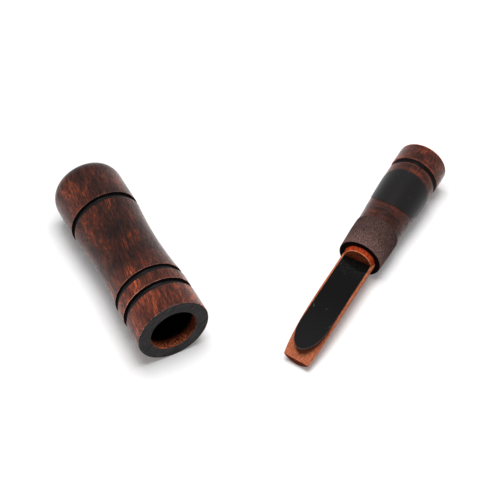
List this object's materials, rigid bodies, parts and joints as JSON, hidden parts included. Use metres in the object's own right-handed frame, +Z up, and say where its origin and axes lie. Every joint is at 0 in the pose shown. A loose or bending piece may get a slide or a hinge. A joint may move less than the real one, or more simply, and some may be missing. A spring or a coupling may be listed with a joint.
{
  "type": "bird call",
  "caption": "Turned wooden bird call taken apart: a waisted, grooved barrel beside its insert, whose tone board carries a flat reed clamped by a wedge block.",
  "frame": {"origin": "centre of the ground rectangle under both halves, at table level", "axes": "+Z up; +X towards the insert and along the longest extent; the view of the picture looks along +Y"},
  "size_m": [0.1582, 0.1038, 0.0286],
  "materials": {
    "barrel_wood": "satin varnish",
    "insert_wood": "satin varnish",
    "tone_board_wood": "sanded, bare",
    "wedge_wood": "sanded, bare",
    "reed_film": "satin",
    "label_film": "satin"
  },
  "bodies": {
    "barrel": {"barrel": "barrel_wood"},
    "insert": {"insert_body": "insert_wood", "label": "label_film"},
    "tone_board": {"tone_board": "tone_board_wood"},
    "wedge_block": {"wedge_block": "wedge_wood"},
    "reed": {"reed": "reed_film"}
  },
  "joints": [
    {"name": "insert_lift", "type": "slide", "parent": "barrel", "child": "insert", "axis": [0, 0, 1], "range_m": [0, 0.08]},
    {"name": "tone_board_pull", "type": "slide", "parent": "insert", "child": "tone_board", "axis": [-0.4922, -0.87, -0.0297], "range_m": [0, 0.028]},
    {"name": "wedge_pull", "type": "slide", "parent": "tone_board", "child": "wedge_block", "axis": [-0.4922, -0.87, -0.0297], "range_m": [0, 0.02]},
    {"name": "reed_flex", "type": "hinge", "parent": "tone_board", "child": "reed", "pos_m": [0.03268, -0.01946, 0.00858], "axis": [-0.8704, 0.4924, 0], "range_deg": [-2.5, 5], "stiffness_Nm_per_rad": 0.016, "deforming": ["reed"]}
  ]
}
